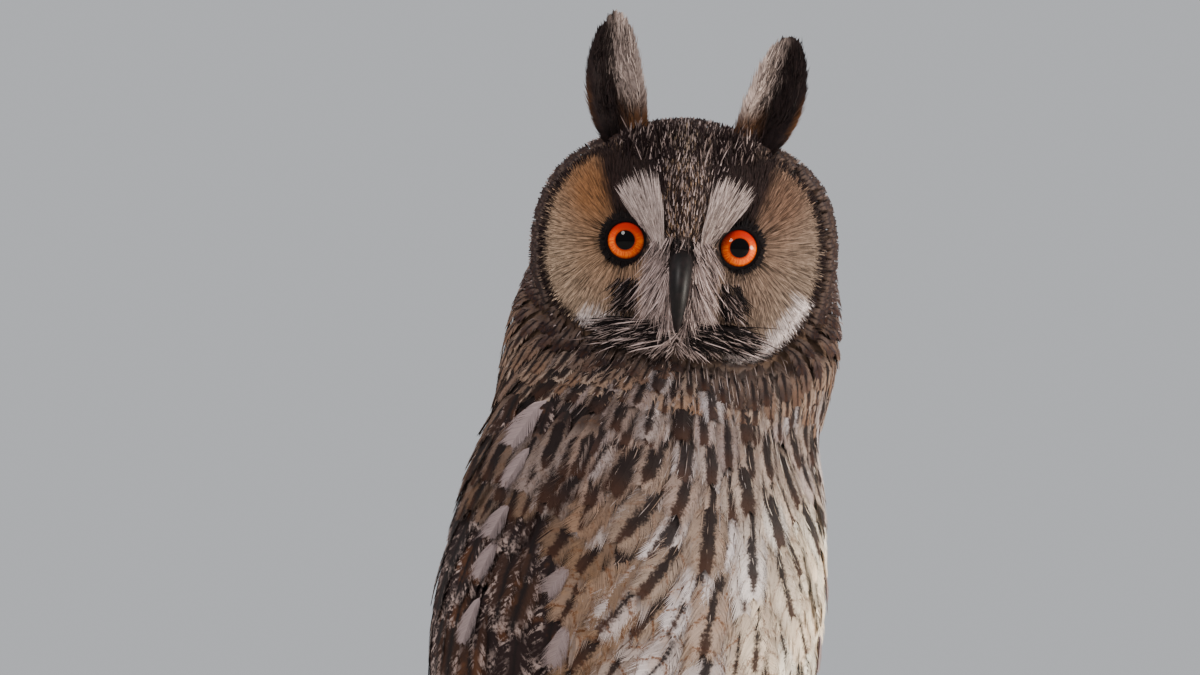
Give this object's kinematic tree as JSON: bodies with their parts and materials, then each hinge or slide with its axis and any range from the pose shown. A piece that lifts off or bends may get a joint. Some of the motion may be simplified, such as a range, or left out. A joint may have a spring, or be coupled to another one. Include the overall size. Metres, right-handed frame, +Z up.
{
  "type": "owl on a perch",
  "caption": "Life-size long-eared owl standing upright on a cut branch, wings folded and face turned forward, held over a round base by rods.",
  "frame": {"origin": "centre of the display base's underside", "axes": "+Z up; the owl's face looks along -Y; +X is towards the owl's left"},
  "size_m": [0.192, 0.192, 0.3954],
  "materials": {
    "plumage": "soft feathers",
    "wing": "mottled flight feathers",
    "face": "fine hair-like feathers",
    "tuft": "dark feathers",
    "eye": "wet gloss",
    "horn": "satin horn",
    "toe": "short feathers",
    "bark": "rough bark",
    "base": "satin lacquer",
    "rod": "brushed"
  },
  "bodies": {
    "root": {"head": "face", "bill_upper": "horn", "bill_lower": "horn", "neck": "plumage", "torso": "plumage", "tail": "wing", "perch_branch": "bark", "stand_base": "base", "eye_right": "eye", "ear_tuft_right": "tuft", "wing_right": "wing", "leg_right": "toe", "foot_right": "toe", "stand_rod_right": "rod", "claw_right_1": "horn", "claw_right_2": "horn", "claw_right_3": "horn", "claw_right_4": "horn", "eye_left": "eye", "ear_tuft_left": "tuft", "wing_left": "wing", "leg_left": "toe", "foot_left": "toe", "stand_rod_left": "rod", "claw_left_1": "horn", "claw_left_2": "horn", "claw_left_3": "horn", "claw_left_4": "horn"}
  },
  "joints": []
}
